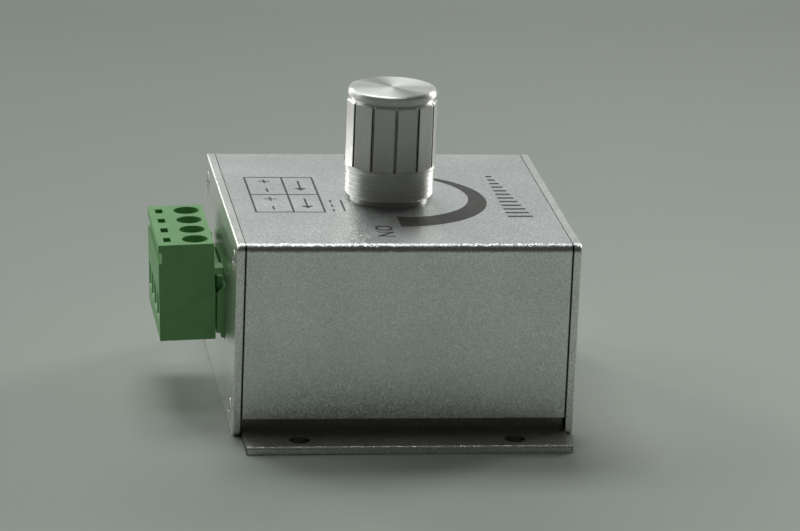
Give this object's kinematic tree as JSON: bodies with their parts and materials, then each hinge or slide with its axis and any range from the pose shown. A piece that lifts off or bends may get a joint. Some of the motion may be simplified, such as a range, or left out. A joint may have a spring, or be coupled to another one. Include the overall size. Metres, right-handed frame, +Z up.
{
  "type": "led dimmer",
  "caption": "Rotary dimmer in a flanged aluminium case: a fluted turned knob on top works a switched potentiometer, and a green pluggable screw terminal leaves one end.",
  "frame": {"origin": "centre of the four flange holes, on the underside of the base", "axes": "+Z up through the knob, +X from the terminal end to the blank end, +Y from the front wall to the back wall"},
  "size_m": [0.0601, 0.0664, 0.046],
  "materials": {
    "case_aluminium": "sand-blasted and anodised",
    "end_plate_aluminium": "sand-blasted and anodised",
    "knob_aluminium": "turned, spun top",
    "pot_nickel": "nickel plated",
    "pot_can": "tinned",
    "shaft_aluminium": "turned",
    "phenolic": "phenolic paper",
    "black_moulding": "moulded",
    "contact_metal": "tinned",
    "board_laminate": "glass fibre laminate",
    "component_black": "moulded epoxy",
    "capacitor_sleeve": "sleeved can",
    "ceramic": "fired ceramic",
    "terminal_green": "moulded",
    "terminal_screw_steel": "bright zinc plated",
    "clamp_brass": "tinned"
  },
  "bodies": {
    "case": {"cover_shell": "case_aluminium", "base_plate": "case_aluminium", "terminal_end_plate": "end_plate_aluminium", "blank_end_plate": "end_plate_aluminium", "pot_bushing": "pot_nickel", "pot_housing": "pot_can", "pot_wafer": "phenolic", "pot_terminals": "contact_metal", "pot_washer": "pot_can", "pot_nut": "pot_nickel", "switch_box": "black_moulding", "switch_pins": "contact_metal", "circuit_board": "board_laminate", "power_transistors": "component_black", "filter_capacitor": "capacitor_sleeve", "flyback_diode": "component_black", "driver_chip": "component_black", "chip_resistors": "component_black", "chip_capacitors": "ceramic", "header_housing": "terminal_green", "header_pins": "contact_metal"},
    "knob": {"knob": "knob_aluminium", "knob_insert": "black_moulding", "pot_shaft": "shaft_aluminium", "pot_rotor": "black_moulding", "pot_wiper": "contact_metal"},
    "plug": {"plug_housing": "terminal_green", "plug_contacts": "contact_metal"},
    "pole_screw_1": {"terminal_screw_1": "terminal_screw_steel"},
    "pole_clamp_1": {"clamp_cage_1": "clamp_brass"},
    "pole_screw_2": {"terminal_screw_2": "terminal_screw_steel"},
    "pole_clamp_2": {"clamp_cage_2": "clamp_brass"},
    "pole_screw_3": {"terminal_screw_3": "terminal_screw_steel"},
    "pole_clamp_3": {"clamp_cage_3": "clamp_brass"},
    "pole_screw_4": {"terminal_screw_4": "terminal_screw_steel"},
    "pole_clamp_4": {"clamp_cage_4": "clamp_brass"}
  },
  "joints": [
    {"name": "knob_turn", "type": "hinge", "parent": "case", "child": "knob", "pos_m": [0, 0, 0.029], "axis": [0, 0, 1], "range_deg": [-150, 150]},
    {"name": "plug_pull", "type": "slide", "parent": "case", "child": "plug", "axis": [-1, 0, 0], "range_m": [0, 0.012]},
    {"name": "terminal_screw_turn_1", "type": "hinge", "parent": "plug", "child": "pole_screw_1", "pos_m": [-0.02907, -0.00762, 0.01428], "axis": [0.0419, 0, -0.9991], "range_deg": [0, 1585]},
    {"name": "clamp_lift_1", "type": "slide", "parent": "plug", "child": "pole_clamp_1", "axis": [-0.0419, 0, 0.9991], "range_m": [0, 0.0022]},
    {"name": "terminal_screw_turn_2", "type": "hinge", "parent": "plug", "child": "pole_screw_2", "pos_m": [-0.02907, -0.00254, 0.01428], "axis": [0.0419, 0, -0.9991], "range_deg": [0, 1585]},
    {"name": "clamp_lift_2", "type": "slide", "parent": "plug", "child": "pole_clamp_2", "axis": [-0.0419, 0, 0.9991], "range_m": [0, 0.0022]},
    {"name": "terminal_screw_turn_3", "type": "hinge", "parent": "plug", "child": "pole_screw_3", "pos_m": [-0.02907, 0.00254, 0.01428], "axis": [0.0419, 0, -0.9991], "range_deg": [0, 1585]},
    {"name": "clamp_lift_3", "type": "slide", "parent": "plug", "child": "pole_clamp_3", "axis": [-0.0419, 0, 0.9991], "range_m": [0, 0.0022]},
    {"name": "terminal_screw_turn_4", "type": "hinge", "parent": "plug", "child": "pole_screw_4", "pos_m": [-0.02907, 0.00762, 0.01428], "axis": [0.0419, 0, -0.9991], "range_deg": [0, 1585]},
    {"name": "clamp_lift_4", "type": "slide", "parent": "plug", "child": "pole_clamp_4", "axis": [-0.0419, 0, 0.9991], "range_m": [0, 0.0022]}
  ],
  "couplings": [
    {"joint": "terminal_screw_turn_1", "follows": "clamp_lift_1", "rad_per_m": 12566},
    {"joint": "terminal_screw_turn_2", "follows": "clamp_lift_2", "rad_per_m": 12566},
    {"joint": "terminal_screw_turn_3", "follows": "clamp_lift_3", "rad_per_m": 12566},
    {"joint": "terminal_screw_turn_4", "follows": "clamp_lift_4", "rad_per_m": 12566}
  ]
}
